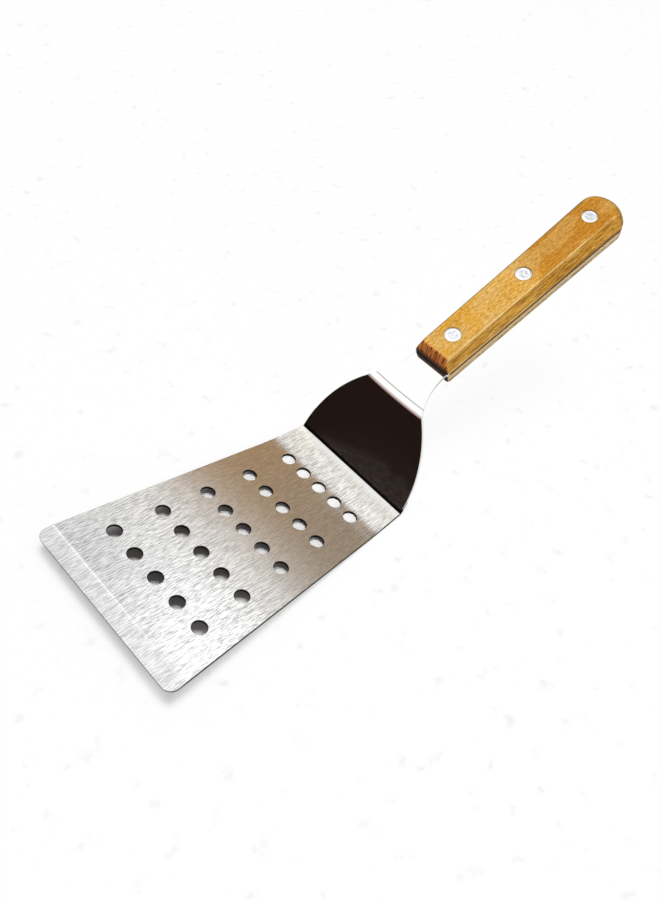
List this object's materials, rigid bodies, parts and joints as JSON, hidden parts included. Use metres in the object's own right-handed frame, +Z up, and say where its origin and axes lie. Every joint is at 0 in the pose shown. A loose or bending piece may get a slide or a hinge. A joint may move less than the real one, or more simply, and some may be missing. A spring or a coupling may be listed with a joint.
{
  "type": "burger turner",
  "caption": "Kitchen turner with a wide tapered perforated steel blade, a cranked shoulder and neck, and a tang riveted between two bevelled wooden scales",
  "frame": {"origin": "on the table, under the middle of the turner's box", "axes": "+X from the blade's front edge to the butt of the handle, +Y across the blade, +Z up from the table that the heel lies on"},
  "size_m": [0.305, 0.0902, 0.1075],
  "materials": {
    "steel": "brushed along the blade, polished shoulder and neck",
    "wood": "oiled",
    "rivet": "ground flush with the wood"
  },
  "bodies": {
    "root": {"blade_and_tang": "steel", "upper_scale": "wood", "lower_scale": "wood", "rivet_pin_front": "rivet", "rivet_pin_middle": "rivet", "rivet_pin_rear": "rivet", "rivet_sleeve_front": "rivet", "rivet_sleeve_middle": "rivet", "rivet_sleeve_rear": "rivet"}
  },
  "joints": []
}
